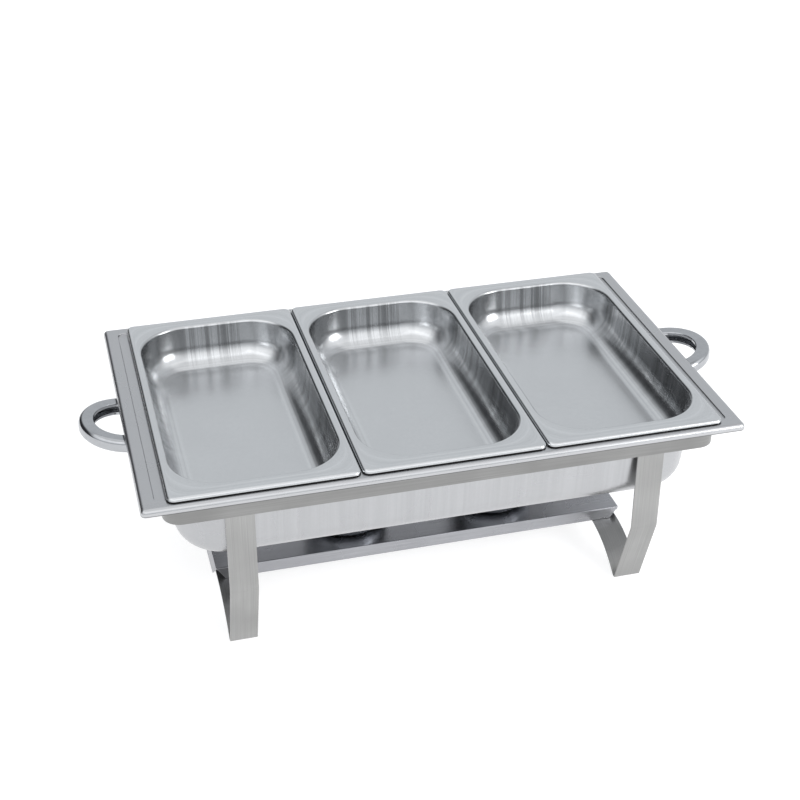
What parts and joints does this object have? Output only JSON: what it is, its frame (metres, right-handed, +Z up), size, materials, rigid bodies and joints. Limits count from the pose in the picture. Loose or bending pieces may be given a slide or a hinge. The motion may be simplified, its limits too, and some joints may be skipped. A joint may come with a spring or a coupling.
{
  "type": "chafing dish",
  "caption": "Stainless steel buffet chafing dish: food pans in a water pan on a strap-steel stand with fuel shelf, lidded fuel cups and loop handles.",
  "frame": {"origin": "on the ground, under the middle of the water pan", "axes": "+X along the dish to the right-hand handle, +Y from the front to the back, +Z up"},
  "size_m": [0.6058, 0.325, 0.184],
  "materials": {
    "food_pan_steel": "satin floor, bright walls and rim",
    "water_pan_steel": "satin, with a bright rolled edge",
    "stand_steel": "brushed strip",
    "handle_steel": "polished",
    "rivet_steel": "bright",
    "shelf_steel": "cold-rolled, half bright",
    "burner_steel": "polished, heat-darkened",
    "damper_steel": "half bright"
  },
  "bodies": {
    "stand": {"stand_band": "stand_steel", "leg_strap_left": "stand_steel", "leg_strap_right": "stand_steel", "handle_left": "handle_steel", "handle_right": "handle_steel", "handle_rivets_left": "rivet_steel", "handle_rivets_right": "rivet_steel"},
    "shelf": {"fuel_shelf": "shelf_steel"},
    "left_cup": {"fuel_cup_left": "burner_steel"},
    "left_lid": {"cup_lid_left": "burner_steel", "damper_rivet_left": "rivet_steel"},
    "left_damper": {"damper_left": "damper_steel"},
    "right_cup": {"fuel_cup_right": "burner_steel"},
    "right_lid": {"cup_lid_right": "burner_steel", "damper_rivet_right": "rivet_steel"},
    "right_damper": {"damper_right": "damper_steel"},
    "water_bath": {"water_pan": "water_pan_steel"},
    "left_food": {"food_pan_left": "food_pan_steel"},
    "middle_food": {"food_pan_middle": "food_pan_steel"},
    "right_food": {"food_pan_right": "food_pan_steel"}
  },
  "joints": [
    {"name": "water_pan_lift", "type": "slide", "parent": "stand", "child": "water_bath", "axis": [0, 0, 1], "range_m": [0, 0.1]},
    {"name": "shelf_draw", "type": "slide", "parent": "stand", "child": "shelf", "axis": [1, 0, 0], "range_m": [0, 0.4]},
    {"name": "left_food_lift", "type": "slide", "parent": "water_bath", "child": "left_food", "axis": [0, 0, 1], "range_m": [0, 0.06]},
    {"name": "middle_food_lift", "type": "slide", "parent": "water_bath", "child": "middle_food", "axis": [0, 0, 1], "range_m": [0, 0.06]},
    {"name": "right_food_lift", "type": "slide", "parent": "water_bath", "child": "right_food", "axis": [0, 0, 1], "range_m": [0, 0.06]},
    {"name": "left_cup_lift", "type": "slide", "parent": "shelf", "child": "left_cup", "axis": [0, 0, 1], "range_m": [0, 0.012]},
    {"name": "left_lid_lift", "type": "slide", "parent": "left_cup", "child": "left_lid", "axis": [0, 0, 1], "range_m": [0, 0.012]},
    {"name": "left_damper_swing", "type": "hinge", "parent": "left_lid", "child": "left_damper", "pos_m": [-0.0345, -0.008, 0.0846], "axis": [0, 0, 1], "range_deg": [0, 120]},
    {"name": "right_cup_lift", "type": "slide", "parent": "shelf", "child": "right_cup", "axis": [0, 0, 1], "range_m": [0, 0.012]},
    {"name": "right_lid_lift", "type": "slide", "parent": "right_cup", "child": "right_lid", "axis": [0, 0, 1], "range_m": [0, 0.012]},
    {"name": "right_damper_swing", "type": "hinge", "parent": "right_lid", "child": "right_damper", "pos_m": [0.1105, -0.008, 0.0846], "axis": [0, 0, 1], "range_deg": [0, 120]}
  ]
}
